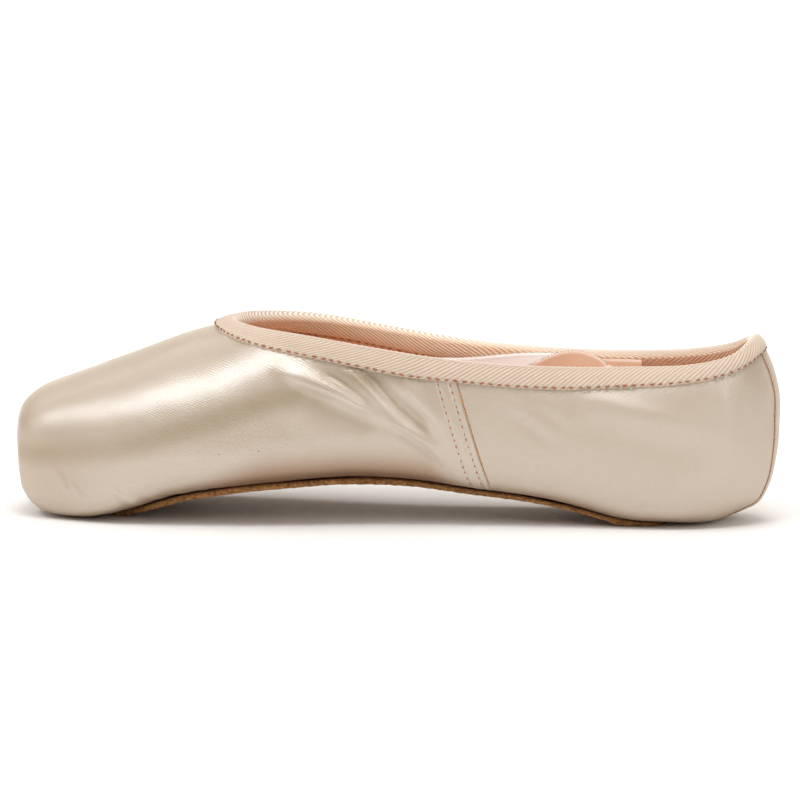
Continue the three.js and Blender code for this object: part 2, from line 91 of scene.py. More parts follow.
INSOLE = (
    (-101, 1.2), (-98, 13), (-88, 21.5), (-62, 29), (-46, 29.4), (-15, 24), (10, 20.4), (60, 20),
    (84, 17), (96, 9.5), (99, 1.2),
)
INSOLE_THICKNESS = 2
# How far the upper's edge is turned in under the foot.
LASTING_MARGIN = 9
# The upper's wall is thick in the stiff toe box and thin behind it.
STIFF_END, SOFT_START = -75, -35
BOX_WALL, QUARTER_WALL = 3, 1.6
SATIN_THICKNESS = 0.8
# How much of the satin's push inwards the lining's face follows.
LINING_SHARE = 0.7

# The wall lines fan out from these places along the last's middle: low at the sole, high at the collar.
SPINE_TOE = {"low": -72, "mid": -100, "high": -38}
SPINE_HEEL = {"low": 78, "mid": 90, "high": 90}
LOW_SHARE = 0.4
TOE_FAN, SIDE_STEPS, HEEL_FAN, WALL_DETAIL = 52, 140, 34, 150
# They stand closer together at the folds, and at the seam's edge and stitches.
FOLDS_START, FOLDS_END, FOLD_GAP = -38, -9, 0.48
SEAM_EDGE_LINES, SEAM_ROW_LINES = (-1.2, 1.2, 17), (-8.5, -1.8, 12)
# The side seam leans back from the binding down to the sole: (x, z) at its two ends.
SEAM_TOP, SEAM_FOOT = (21.6, 45.1), (31.7, 11.6)
SEAM_SLANT = 1.045
SEAM_X, SEAM_REACH, SEAM_STEP = 27, 60, 0.5
# How far before the seam's edge its two rows of stitches run.
SEAM_ROWS = (-1.9, -5.4)

# Creases of the satin, each a soft ridge (height above 0) or trough (below 0) along a path of (x, z)
# on one side. above and below are its widths on its upper and lower flank.
# The columns are side, height, above, below and path.
CREASES = (
    # the long bright fold that runs down from the throat, and the hollow under it
    (-1, 1.4, 3.2, 1.9, ((-33, 49.5), (-25, 46), (-18, 43.4), (-11.4, 40.7), (-6, 37.7), (-2.5, 35.4))),
    (-1, -0.7, 2, 4.5, ((-25, 42.3), (-14, 36.8), (-6, 33.4), (0, 31))),
    # the narrow hollow above it, a low fold, and the wide hollow that runs on down to the seam
    (-1, -0.8, 1.7, 1.6, ((-20, 49), (-14, 45.8), (-9, 42.2), (-4, 38.4))),
    (-1, 0.5, 1.9, 1.8, ((-13, 50), (-8, 45.8), (-3, 40.8), (1, 36.8))),
    (-1, -1.3, 2.5, 2.4, ((-10, 51), (-3, 46.2), (1.4, 41.2), (7, 36), (11, 32.4), (14.8, 28.4))),
    (-1, 0.8, 3, 2.5, ((4.5, 46.5), (10, 40.8), (15, 35), (18.5, 29.6))),
    # the fine crease lower down, with a low fold above it
    (-1, 0.55, 1.7, 1.5, ((-1, 35), (5, 31.8), (11, 28.2), (16.5, 24))),
    (-1, -0.5, 1.1, 1.6, ((1.5, 31.6), (9, 27), (15, 22), (20, 16.4))),
    # soft hollows on the vamp's side
    (-1, -0.4, 6, 6, ((-60, 28), (-42, 31), (-24, 33))),
    (-1, 0.3, 5, 6.5, ((-52, 19), (-34, 21), (-14, 23))),
    # small creases where the toe turns under
    (-1, 0.35, 0.9, 1.1, ((-101.5, 16), (-100, 12.5), (-97.5, 9))),
    (-1, 0.25, 0.8, 0.9, ((-97, 13), (-95, 9.5), (-92, 7))),
    (-1, 0.55, 0.9, 1.3, ((-83, 11.5), (-80, 9), (-76, 6.6))),
    # soft diagonals on the quarter
    (-1, 0.6, 1.8, 2.4, ((35, 41.4), (42, 36.6), (49, 31.6), (55, 28))),
    (-1, -0.5, 2.4, 2, ((39, 35.6), (45, 31.2), (52, 26.2))),
    (-1, 0.45, 2.2, 3, ((44, 42.6), (52, 37.4), (59, 32))),
    (-1, 0.9, 3.4, 5.5, ((56, 41.4), (66, 39), (76, 36.4), (86, 34.6), (97, 32))),
    (-1, -0.55, 4.2, 5, ((58, 34.6), (70, 31), (84, 27.6), (98, 24.6))),
    # the upright band before the heel, where the counter ends
    (-1, 0.7, 3, 3, ((102, 47), (103.5, 34), (103, 22), (102, 8))),
    (-1, -0.3, 3.5, 5, ((93, 42), (94, 31), (93, 18))),
    # the far side, alike but not the same
    (1, 1.3, 3.3, 2.1, ((-31, 50), (-22, 46), (-12, 41.2), (-5, 37))),
    (1, -0.6, 2.2, 4.6, ((-22, 42.4), (-11, 36.8), (-2, 32.6))),
    (1, -0.7, 1.8, 1.7, ((-17, 49.2), (-11, 45.6), (-5, 41.4), (-1, 38))),
    (1, -1.2, 2.6, 2.5, ((-7, 51), (0, 46), (5, 40.4), (11, 34.6), (15, 29.6))),
    (1, 0.8, 3.2, 2.7, ((7, 46), (13, 40), (18, 33.6))),
    (1, 0.5, 1.8, 1.7, ((1, 34.4), (8, 30.6), (15, 25.4))),
    (1, -0.45, 1.3, 1.8, ((3, 31), (10, 26.6), (17, 20.4))),
    (1, -0.4, 6, 6, ((-58, 30), (-42, 32), (-26, 34))),
    (1, 0.4, 0.9, 1.2, ((-84, 10.5), (-81, 7.2), (-78, 5))),
    (1, 0.5, 2.6, 3.2, ((37, 40), (45, 35), (53, 30))),
    (1, 0.75, 4, 5.4, ((60, 41), (72, 37.6), (86, 35), (96, 33))),
    (1, -0.5, 4.4, 5.2, ((62, 34), (76, 29.6), (92, 26.4))),
    (1, 0.6, 3.2, 3.2, ((101, 46), (103, 32), (102, 12))),
)

# The satin's slow waves: a random way and start each, then the length and height.
WAVE_SIZES = ((46, 0.1), (31, 0.09), (23, 0.06), (15, 0.035), (10, 0.022), (7, 0.012))
SLOW_WAVES = [(rng.normal(size=3), rng.uniform(0, 6.28), size, height) for size, height in WAVE_SIZES]

# The route of the ribbon's top edge, as (x, y, z). It stands on its other edge inside the shoe.
RIBBON_WIDTH = 23
RIBBON_ROUTE = (
    (75.5, 15, 47.6), (65, 18, 47.4), (48, 21.2, 46.6), (28, 22.1, 46.4), (12, 19.6, 46.8), (3, 12, 47.6),
    (6, 5, 48.6), (20, 5.5, 48.6), (38, 8, 50), (55, 8.5, 49.4), (68, 5, 46.4), (74, -3, 45),
    (70, -12, 44.8), (58, -17.5, 45.4), (45, -17.5, 45.8), (38.5, -12.5, 47), (42.5, -5.5, 48.4),
    (49, 0.5, 50.8), (56, 2.5, 51.8), (62.5, -0.5, 50.4), (66.3, -7, 48.4),
)
# Its back, painted peach as shade and warm bounce light, faces out as far as this, and again from this
# share of its length on.
RIBBON_BACK_END, RIBBON_BACK_SHARE = 70, 0.52


def mix(a, b, t):
    return a + (b - a) * t


def smooth(t):
    c = np.clip(t, 0, 1)
    return c * c * (3 - 2 * c)


def ramp(value, start, end):
    """0 at start, 1 at end, and soft between."""
    return smooth((value - start) / (end - start))


def natural_spline(xs, ys):
    """A natural cubic spline through the points, as a function of arrays."""
    xs, ys = np.array(xs, float), np.array(ys, float)
    gaps = np.diff(xs)
    system = np.eye(len(xs))
    bends = np.zeros(len(xs))
    for i in range(1, len(xs) - 1):
        system[i, i - 1:i + 2] = gaps[i - 1], 2 * (gaps[i - 1] + gaps[i]), gaps[i]
        bends[i] = 6 * ((ys[i + 1] - ys[i]) / gaps[i] - (ys[i] - ys[i - 1]) / gaps[i - 1])
    second = np.linalg.solve(system, bends)

    def at(v):
        v = np.clip(v, xs[0], xs[-1])
        i = np.clip(np.searchsorted(xs, v, side="right") - 1, 0, len(xs) - 2)
        k, t, s = gaps[i], v - xs[i], xs[i + 1] - v
        curve = (s ** 3 / k - k * s) * second[i] + (t ** 3 / k - k * t) * second[i + 1]
        return (s * ys[i] + t * ys[i + 1]) / k + curve / 6

    return at


def columns(names, rows):
    """The splines of a table's columns, by name."""
    table = list(zip(*rows))
    return {name: natural_spline(table[0], table[i]) for i, name in enumerate(names) if i}


LAST = columns(SECTION_COLUMNS, SECTIONS)
collar = columns(COLLAR_COLUMNS, COLLAR)
sole = columns(SOLE_COLUMNS, SOLE)
insole_half = columns(INSOLE_COLUMNS, INSOLE)["half"]


def rounding(x, way):
    share = 1
    for end in ENDS:
        reach, power = end[way]
        u = np.clip(np.abs(x - end["x"]) / reach, 0, 1)
        share = share * (1 - (1 - u) ** power) ** (1 / power)
    return share


def gauge(p):
    """Below 0 inside the last, 0 on its surface."""
    x, y, z = np.moveaxis(p, -1, 0)
    inside = (x > TOE_X) & (x < HEEL_X)
    x = np.clip(x, TOE_X + 1e-5, HEEL_X - 1e-5)
    level = LAST["level"](x)
    half = LAST["half"](x) * rounding(x, "plan")
    up = (LAST["crown"](x) - level) * rounding(x, "up")
    down = (level - LAST["under"](x)) * rounding(x, "down")
    rise = (z - level) / np.where(z > level, up, down)
    end_power = np.where(rise > 0, LAST["arch"](x), LAST["base"](x))
    power = mix(WALL_POWER, end_power, smooth(np.abs(rise)))
    return np.where(inside, np.abs(y / half) ** power + np.abs(rise) ** power - 1, 1000.0)


def halved(on_near_side, near, far):
    """The border between two values, found by halving the gap."""
    for _ in range(30):
        middle = (near + far) / 2
        here = on_near_side(middle)
        near, far = np.where(here, middle, near), np.where(here, far, middle)
    return near


def cast(starts, ways):
    """Where rays from inside the last meet its surface."""
    beyond = 160.0
    near, far = np.zeros(starts.shape[:-1]), np.full(starts.shape[:-1], beyond)
    reach = halved(lambda r: gauge(starts + ways * r[..., None]) < 0, near, far)
    return starts + ways * reach[..., None]


def outward(p):
    steps = np.eye(3) * 0.02
    slope = np.stack([gauge(p + step) - gauge(p - step) for step in steps], -1)
    return slope / np.linalg.norm(slope, axis=-1, keepdims=True)


def xyz(x, y, z):
    """Points from their coordinates, spread out to one shape."""
    return np.stack(np.broadcast_arrays(x, y, z), -1)


def spine_points(x):
    return xyz(x, 0.0, LAST["level"](x))


def lifted(p, height):
    """Points of the last's surface moved outwards."""
    return p + outward(p) * height[..., None]


def wall_thickness(x):
    return mix(BOX_WALL, QUARTER_WALL, ramp(x, STIFF_END, SOFT_START))


def underside(x, y):
    return cast(xyz(x, y, LAST["level"](x)), np.array([0.0, 0.0, -1.0]))[..., 2]


def stations():
    """The wall lines all round, as headings and places on the spine, from the heel by the near side."""
    quarter = math.pi / 2
    seam_marks = SEAM_X + np.concatenate([np.linspace(*SEAM_EDGE_LINES), np.linspace(*SEAM_ROW_LINES)])
    fold_marks = np.arange(FOLDS_START, SEAM_X + FOLDS_END, FOLD_GAP)
    plain = np.linspace(SPINE_HEEL["mid"], SPINE_TOE["mid"], SIDE_STEPS)
    plain = plain[(plain < FOLDS_START - 0.5) | (plain > SEAM_X + FOLDS_END + 0.4)]
    x = np.unique(np.concatenate([plain, fold_marks, seam_marks]))[::-1]
    to_heel = np.clip((x - SEAM_X) / (SPINE_HEEL["mid"] - SEAM_X), 0, 1)
    to_toe = np.clip((SEAM_X - x) / (SEAM_X - SPINE_TOE["mid"]), 0, 1)

    def shifted(place):
        heel, toe = SPINE_HEEL[place] - SPINE_HEEL["mid"], SPINE_TOE[place] - SPINE_TOE["mid"]
        return x + to_heel * heel + to_toe * toe

    def fan(place, headings):
        return {"heading": headings, **{k: np.full(len(headings), float(v)) for k, v in place.items()}}

    heel = fan(SPINE_HEEL, -quarter * np.arange(HEEL_FAN) / HEEL_FAN)
    side = {"heading": np.full(len(x), -quarter), "low": shifted("low"), "mid": x, "high": shifted("high")}
    toe = fan(SPINE_TOE, -quarter - quarter * np.arange(1, TOE_FAN + 1) / TOE_FAN)
    near = {k: np.concatenate([heel[k], side[k], toe[k]]) for k in side}
    far = {k: v[1:-1][::-1] for k, v in near.items()}
    far["heading"] = -far["heading"]
    return {k: np.concatenate([near[k], far[k]]) for k in near}


def rays(lines, share, lift, slide):
    """Points of the wall lines at some share of their height, slid along the shoe to follow the seam."""
    heading, low, mid, high = (lines[k][:, None] for k in ("heading", "low", "mid", "high"))
    start = slide + np.where(share < LOW_SHARE, mix(low, mid, smooth(share / LOW_SHARE)),
                             mix(mid, high, ramp(share, LOW_SHARE, 1)))
    way = xyz(np.cos(lift) * np.cos(heading), np.cos(lift) * np.sin(heading), np.sin(lift))
    return cast(spine_points(start), way)


def seam_x(z):
    part = (SEAM_TOP[1] - z) / (SEAM_TOP[1] - SEAM_FOOT[1])
    return SEAM_TOP[0] + (SEAM_FOOT[0] - SEAM_TOP[0]) * part


def under_opening(p):
    x, y = p[..., 0], p[..., 1]
    return (np.abs(y) < sole["half"](x) - LASTING_MARGIN) & (x > SOLE[0][0]) & (x < SOLE[-1][0])


def above_collar(p):
    return p[..., 2] > collar["z"](p[..., 0])


def wall_lines(lines, slide):
    """Points on every wall line, from the opening underneath up to the collar."""
    count = len(lines["heading"])

    def edge(share, end, in_opening, slide):
        near, far = np.zeros((count, 1)), np.full((count, 1), end)
        return halved(lambda lift: ~in_opening(rays(lines, share, lift, slide)), near, far)

    low = edge(0.0, -math.pi / 2, under_opening, slide[:, :1])
    high = edge(1.0, math.pi / 2, above_collar, slide[:, -1:])
    share = np.linspace(0, 1, WALL_DETAIL + 1)[None]
    return rays(lines, share, mix(low, high, share), slide)


def seam_slide(lines, first_lines):
    """How far each point slides along the shoe, so that the lines near the seam run as it does."""
    lowest, highest = 8, 52
    near = 1 - smooth(np.abs(lines["mid"] - SEAM_X) / SEAM_REACH)
    sides = np.abs(np.abs(lines["heading"]) - math.pi / 2) < 1e-6
    z = np.clip(first_lines[..., 2], lowest, highest)
    return (near * sides)[:, None] * (seam_x(z) - SEAM_X)


def lengths(points):
    """Distance along each line of points, from its first one."""
    steps = np.linalg.norm(np.diff(points, axis=-2), axis=-1)
    return np.concatenate([np.zeros((*steps.shape[:-1], 1)), np.cumsum(steps, -1)], -1)


def read_rows(grid, place):
    """Each line of the grid read at its own places, counted in rows."""
    i = np.minimum(place.astype(int), grid.shape[1] - 2)
    line = np.arange(len(grid))[:, None]
    return mix(grid[line, i], grid[line, i + 1], (place - i)[..., None])


def read_along(values, reach, want):
    """Rows of values that are kept at the distances in reach, read at the distances wanted."""
    return np.stack([np.interp(want, reach, column) for column in values.T], -1)


def respaced(points, rows):
    """The lines drawn again with evenly spread rows, a little closer together at bends."""
    bend_weight, evening = 14.0, 5
    steps = np.diff(points, axis=1)
    size = np.linalg.norm(steps, axis=-1)
    way = steps / np.maximum(size[..., None], 1e-9)
    turn = np.arccos(np.clip((way[:, 1:] * way[:, :-1]).sum(-1), -1, 1))
    weight = size + bend_weight * np.pad(turn, ((0, 0), (0, 1)))
    measure = np.concatenate([np.zeros((len(points), 1)), np.cumsum(weight, 1)], 1)
    measure /= measure[:, -1:]
    measure = np.mean([np.roll(measure, k, axis=0) for k in range(-evening, evening + 1)], axis=0)
    want = np.linspace(0, 1, rows + 1)
    return read_rows(points, np.stack([np.interp(want, m, np.arange(len(m))) for m in measure]))


LINES = stations()
STRAIGHT_WALL = wall_lines(LINES, np.zeros((len(LINES["mid"]), 1)))
WALL = wall_lines(LINES, seam_slide(LINES, STRAIGHT_WALL))


def round_section(p):
    """How far round its cross-section a point lies, in equal steps along the shoe."""
    radius, half_height = 32, 26
    x, y, z = p[..., 0], p[..., 1], p[..., 2]
    return radius * np.arctan2((z - LAST["level"](x)) / half_height, np.abs(y) / LAST["half"](x))


def seam_distance(p):
    """How far behind the side seam a point lies, below 0 in front of it."""
    rise, run = SEAM_TOP[1] - SEAM_FOOT[1], SEAM_FOOT[0] - SEAM_TOP[0]
    return (p[..., 0] - seam_x(p[..., 2])) * rise / math.hypot(rise, run)


def curve_through(stops, count, power=1.0):
    """A smooth path through the stops. A power below 1 keeps it calm where stops are unevenly spaced."""
    stops = np.array(stops, float)
    steps = np.linalg.norm(np.diff(stops, axis=0), axis=1)
    knots = np.concatenate([[0], np.cumsum(steps ** power)])
    at = np.linspace(0, knots[-1], count)
    return np.stack([natural_spline(knots, column)(at) for column in stops.T], -1)


def path_distance(points, stops, widths):
    """How near the points are to a path, in widths of its upper and lower flank, and how far along it."""
    path = curve_through(stops, 22)
    total = lengths(path)[-1]
    best, along, sofar = np.full(len(points), 1e9), np.zeros(len(points)), 0.0
    for a, b in zip(path[:-1], path[1:]):
        span = b - a
        size = np.linalg.norm(span)
        t = np.clip((points - a) @ span / size ** 2, 0, 1)
        away = points - (a + t[:, None] * span)
        distance = np.linalg.norm(away, axis=1)
        upward = (span[0] * away[:, 1] - span[1] * away[:, 0]) / (size * np.maximum(distance, 1e-6))
        distance = distance / (sum(widths) / 2 + (widths[0] - widths[1]) / 2 * upward)
        nearer = distance < best
        best = np.where(nearer, distance, best)
        along = np.where(nearer, (sofar + t * size) / total, along)
        sofar += size
    return best, along


def sole_outline():
    x = np.linspace(SOLE[0][0], SOLE[-1][0], 400)
    half = sole["half"](x)
    return np.concatenate([np.stack([x[::-1], -half[::-1]], -1), np.stack([x, half], -1)])


OUTLINE = sole_outline()
OUTLINE_ALONG = lengths(OUTLINE)


def pleats(p):
    """The satin's pleats, gathered in towards the front of the sole under the toe."""
    pitch, reach, height, depth = 5.2, 8.5, 0.75, 0.45
    back_end, full_from, top = -44, -66, 16
    raise_by = np.zeros(len(p))
    low = (p[:, 0] < back_end + 2) & (p[:, 2] < top)
    spots = p[low][:, :2]
    away = np.linalg.norm(spots[:, None] - OUTLINE[None], axis=2)
    nearest = away.argmin(1)
    distance, along = away.min(1), OUTLINE_ALONG[nearest]
    outside = (np.abs(spots[:, 1]) > sole["half"](spots[:, 0])) | (spots[:, 0] < SOLE[0][0])
    phase = along / pitch + 0.22 * np.sin(along / 7.3) + 0.15 * np.sin(along / 3.1 + 1)
    fold = np.abs(2 * (phase - np.floor(phase)) - 1)
    front = ramp(OUTLINE[nearest, 0], back_end, full_from)
    uneven = 0.75 + 0.35 * np.sin(along / 4.7 + 2) * np.sin(along / 11)
    fade = np.where(outside, np.exp(-(distance / reach) ** 2), 0.6)
    raise_by[low] = front * uneven * fade * (height * fold ** 1.5 - depth)
    return raise_by


def creased(p):
    """How far the creases alone raise the satin, or below 0, how deep they lie."""
    fading_ends, ends_height = 0.22, 0.25
    flat = p.reshape(-1, 3)
    total = np.zeros(len(flat))
    spots = flat[:, [0, 2]]
    for side, height, above, below, path in CREASES:
        margin = 3 * max(above, below)
        low, high = np.min(path, axis=0) - margin, np.max(path, axis=0) + margin
        here = (flat[:, 1] * side > 5) & (spots > low).all(1) & (spots < high).all(1)
        distance, along = path_distance(spots[here], path, (above, below))
        ends = ramp(along, 0, fading_ends) * ramp(along, 1, 1 - fading_ends)
        total[here] += height * np.exp(-distance ** 2) * mix(ends_height, 1, ends)
    return (total * ramp(flat[:, 2], 3, 7)).reshape(p.shape[:-1])


def unevenness(p):
    """Slow waves all over the satin."""
    total = 0
    for way, phase, size, height in SLOW_WAVES:
        total = total + height * np.sin(p @ (way / np.linalg.norm(way)) * 2 * math.pi / size + phase)
    return total


def relief(p):
    """How far the satin stands out from the last: folds, seam, pleats and unevenness."""
    flat = p.reshape(-1, 3)
    x, y, z = flat[:, 0], np.abs(flat[:, 1]), flat[:, 2]
    # the vamp's folded edge over the quarter, drawn down along its two rows of stitches
    row_depth, row_width = 0.28, 0.55
    back = seam_distance(flat)
    step = SEAM_STEP * ramp(back, 0.2, -0.3) * ramp(back, -11, -4)
    rows = sum(-row_depth * np.exp(-((back - row) / row_width) ** 2) for row in SEAM_ROWS)
    seam = (step + rows * ramp(back, 0, -1)) * ramp(y - sole["half"](x), 1, 5) * ramp(y, 8, 12)
    # the platform's rim round the toe's tip
    rim = np.exp(-((x + 115.8) / 0.9) ** 2) - 0.7 * np.exp(-((x + 117.4) / 0.8) ** 2)
    rim = 0.22 * rim * ramp(z, 5, 11) * ramp(z, 35, 29)
    return (creased(flat) + seam + rim + pleats(flat) + unevenness(flat)).reshape(p.shape[:-1])


def sunk(p):
    """How far the layers under the satin are pushed in, to stay clear of the deep hollows."""
    most = 1.5
    x, z = p[..., 0], p[..., 2]
    below_collar = ramp(collar["z"](x) - z, 3.4, 6)
    return most * ramp(x, -40, -26) * ramp(x, 24, 16) * ramp(z, 17, 23) * below_collar


# Meshes

def grid_faces(rows, across, ring_rows, ring_across):
    """Quads between the points of a grid, numbered row by row."""
    i = np.arange(rows if ring_rows else rows - 1)[:, None]
    j = np.arange(across if ring_across else across - 1)[None, :]
    i2, j2 = (i + 1) % rows, (j + 1) % across
    corners = (i * across + j, i2 * across + j, i2 * across + j2, i * across + j2)
    return np.stack(np.broadcast_arrays(*corners), -1).reshape(-1, 4)


def cap_faces(loop_start, size, centre, flip):
    j = np.arange(size)
    k = (j + 1) % size
    a, b = loop_start + j, loop_start + k
    return np.stack([np.full(size, centre), *((a, b) if flip else (b, a))], -1)


def tube(rings, tips=None):
    """The points and faces of a row of rings, closed at both ends round a tip or the ring's middle."""
    count, size = rings.shape[:2]
    tips = tips or (rings[0].mean(0), rings[-1].mean(0))
    points = np.concatenate([rings.reshape(-1, 3), tips])
    last = (count - 1) * size
    caps = [cap_faces(0, size, count * size, True), cap_faces(last, size, count * size + 1, False)]
    return points, [grid_faces(count, size, False, True), np.concatenate(caps)]


def hoop(sections):
    """The points and faces of closed sections that follow each other all round the shoe."""
    return sections.reshape(-1, 3), [grid_faces(*sections.shape[:2], True, True)]


def signed_volume(points, faces):
    total = 0.0
    for group in faces:
        a = points[group[:, 0]]
        for n in range(1, group.shape[1] - 1):
            total += (np.cross(points[group[:, n]], points[group[:, n + 1]]) * a).sum() / 6
    return total


def make_piece(name, points, faces, finish, marks=None, replaces=None):
    """A closed mesh piece that rides on the shoe, kept above the floor. Its points are in millimetres."""
    points = np.maximum(points, (-np.inf, -np.inf, 0))
    if signed_volume(points, faces) < 0:
        faces = [group[:, ::-1] for group in faces]
    mesh = bpy.data.meshes.new(name)
    polygons = [corners for group in faces for corners in group.tolist()]
    mesh.from_pydata((points * METRES).tolist(), [], polygons, shade_flat=False)
    mesh.materials.append(finish)
    for mark, values in (marks or {}).items():
        layer = mesh.attributes.new(mark, "FLOAT", "POINT")
        layer.data.foreach_set("value", np.asarray(values, np.float32).ravel())
    piece = bpy.data.objects.new(name, mesh)
    bpy.context.collection.objects.link(piece)
    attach(piece, "root")
    if replaces:
        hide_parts(replaces)
    return piece


# Shaders

class Reading:
    """A number that changes over a surface. Sums on it add Math nodes to its finish."""

    def __init__(self, finish, socket):
        self.finish = finish
        self.socket = socket

    def __add__(self, other):
        return self.finish.math("ADD", self, other)

    def __sub__(self, other):
        return self.finish.math("SUBTRACT", self, other)

    def __rsub__(self, other):
        return self.finish.math("SUBTRACT", other, self)

    def __mul__(self, other):
        return self.finish.math("MULTIPLY", self, other)

    __radd__ = __add__
    __rmul__ = __mul__


class Finish:
    """A material with one shader, built up from its own nodes."""

    def __init__(self, name, **constants):
        self.material = bpy.data.materials.new(name)
        self.material.use_nodes = True
        self.tree = self.material.node_tree
        self.tree.nodes.clear()
        output = self.tree.nodes.new("ShaderNodeOutputMaterial")
        self.shader = self.tree.nodes.new("ShaderNodeBsdfPrincipled")
        self.tree.links.new(self.shader.outputs[0], output.inputs[0])
        for socket, value in constants.items():
            self.set(socket.replace("_", " "), value)

    def set(self, socket, value):
        self.feed(self.shader.inputs[socket], value)

    def feed(self, socket, value):
        if isinstance(value, Reading):
            self.tree.links.new(value.socket, socket)
        else:
            socket.default_value = colour(value) if isinstance(value, str) else value

    def add(self, kind, settings=None, sockets=None, output=0):
        """Any node: its settings first, then the values or links of its sockets."""
        node = self.tree.nodes.new(kind)
        for key, value in (settings or {}).items():
            setattr(node, key, value)
        for key, value in (sockets or {}).items():
            self.feed(node.inputs[key], value)
        return Reading(self, node.outputs[output])

    def math(self, operation, *values):
        return self.add("ShaderNodeMath", {"operation": operation}, dict(enumerate(values)))

    def mark(self, name):
        """A number kept on the mesh's points."""
        return self.add("ShaderNodeAttribute", {"attribute_name": name}, output="Fac")

    def noise(self, scale, detail=2.0, rough=0.5, stretch=(1, 1, 1)):
        """Noise from 0 to 1, with blotches of about 1 / scale metres."""
        at = self.add("ShaderNodeTexCoord", output="Object")
        place = self.add("ShaderNodeMapping", {}, {"Vector": at, "Scale": stretch})
        sockets = {"Vector": place, "Scale": scale, "Detail": detail, "Roughness": rough}
        return self.add("ShaderNodeTexNoise", {}, sockets)

    def smooth_step(self, value, low, high):
        settings = {"interpolation_type": "SMOOTHSTEP"}
        sockets = {"Value": value, "From Min": low, "From Max": high}
        return self.add("ShaderNodeMapRange", settings, sockets)

    def wave(self, value, pitch):
        """0 to 1 and back once every pitch."""
        return self.math("SINE", value * (2 * math.pi / pitch)) * 0.5 + 0.5

    def blend(self, share, first, second):
        """A colour between two, each written as rrggbb or a reading of one."""
        sockets = {"Factor": share, 6: first, 7: second}
        return self.add("ShaderNodeMix", {"data_type": "RGBA"}, sockets, output=2)

    def bump(self, height, distance, strength=1.0, under=None):
        sockets = {"Height": height, "Distance": distance, "Strength": strength}
        if under is not None:
            sockets["Normal"] = under
        return self.add("ShaderNodeBump", {}, sockets)


def colour(code):
    """A colour written as rrggbb, as the shader needs it."""
    parts = [int(code[i:i + 2], 16) / 255 for i in (0, 2, 4)]
    return tuple(c / 12.92 if c <= 0.04045 else ((c + 0.055) / 1.055) ** 2.4 for c in parts) + (1.0,)


def satin_finish():
    finish = Finish("satin", IOR=2.4, Specular_IOR_Level=0.85, Sheen_Weight=0.1, Sheen_Roughness=0.4,
                    Sheen_Tint="F6E2DC")
    around, length = finish.mark("round"), finish.mark("length")
    quarter = finish.smooth_step(finish.mark("behind_seam"), -0.15, 0.15)
    # the quarter's cloth is cut the other way, so its diagonal twill leans back
    weave = finish.wave(around - length, 1.2) * quarter
    weave = weave + finish.wave(around + length * 0.6, 0.8) * (1 - quarter)
    grain = finish.noise(1700, 2.0)
    cloud = finish.noise(26, 3.0)
    speck = finish.smooth_step(grain, 0.35, 0.75)
    tone = finish.blend(cloud, "AF997C", "B7A288")
    # painted shade: a golden band along the vamp's side where it mirrors the room's dark far side, brown
    # shade in the creases' hollows, and painted light on the crests
    band = finish.math("ABSOLUTE", around - length * 0.21 - 19.6)
    painted_golden_shade = (1 - finish.smooth_step(band, 0.5, 7.5)) * (1 - quarter)
    # painted shade in the creases' hollows and painted light on their crests
    fold = finish.mark("fold") * (1 - quarter)
    painted_hollow_shade, painted_crest_light = finish.smooth_step(fold, -0.15, -0.9), finish.smooth_step(fold, 0.35, 1.2)
    tone = finish.blend(painted_golden_shade * 0.62, tone, "91763F")
    tone = finish.blend(painted_hollow_shade * 0.5, tone, "8C7038")
    tone = finish.blend(painted_crest_light * 0.5, tone, "CDB9A8")
    tone = finish.blend(weave * 0.08 + speck * 0.16, tone, "A08660")
    # painted shade along the sole's edge, in the colour and in a brown metallic gloss
    painted_shade = finish.mark("painted_shade")
    finish.set("Base Color", finish.blend(painted_shade, tone, "8A5618"))
    # the painted shade, golden band and hollows also tint the satin's reflections
    finish.set("Metallic", painted_shade * 0.85 + painted_golden_shade * 0.15 + painted_hollow_shade * 0.1)
    finish.set("Roughness", grain * 0.14 + weave * 0.03 + quarter * 0.08 + 0.31)
    threads = finish.bump(weave * (quarter * 0.3 + 0.7), 0.00005, 0.6)
    finish.set("Normal", finish.bump(grain, 0.00007, 0.9, threads))
    return finish.material


def lining_finish():
    finish = Finish("lining", Roughness=0.85, Sheen_Weight=0.2, Sheen_Roughness=0.5, Sheen_Tint="F0C4A4")
    twill = finish.wave(finish.mark("height") * 0.8 + finish.mark("length"), 1.1)
    grain = finish.noise(1500, 2.0)
    finish.set("Base Color", finish.blend(twill * 0.5 + grain * 0.3, "E2A880", "F2C09A"))
    finish.set("Normal", finish.bump(twill + grain * 0.6, 0.00012, 0.8))
    return finish.material


def binding_finish():
    finish = Finish("binding", Sheen_Weight=0.3, Sheen_Roughness=0.4, Sheen_Tint="FBEDE2")
    rib, painted_crest_light, inside = finish.mark("rib"), finish.mark("painted_crest_light"), finish.mark("inside")
    # painted shade in the ribs' grooves and painted light on their tops; the inside face painted peach and
    # lighter, as the warm light bounced from the lining
    painted_groove_shade = finish.blend(inside, "B99E80", "F6CDA4")
    top = finish.blend(inside, "D6C6B6", "F5DEC6")
    tone = finish.blend(finish.smooth_step(rib, 0.1, 0.8), painted_groove_shade, top)
    # a painted highlight along the tape's folded crest
    tone = finish.blend(painted_crest_light * finish.smooth_step(rib, 0.35, 0.9) * 0.8, tone, "FFF6EC")
    fibre = finish.noise(1800, 2.0)
    finish.set("Base Color", finish.blend(fibre * 0.25, tone, "C8AC8C"))
    finish.set("Roughness", fibre * 0.2 + 0.6)
    finish.set("Normal", finish.bump(fibre, 0.00006, 0.6))
    return finish.material


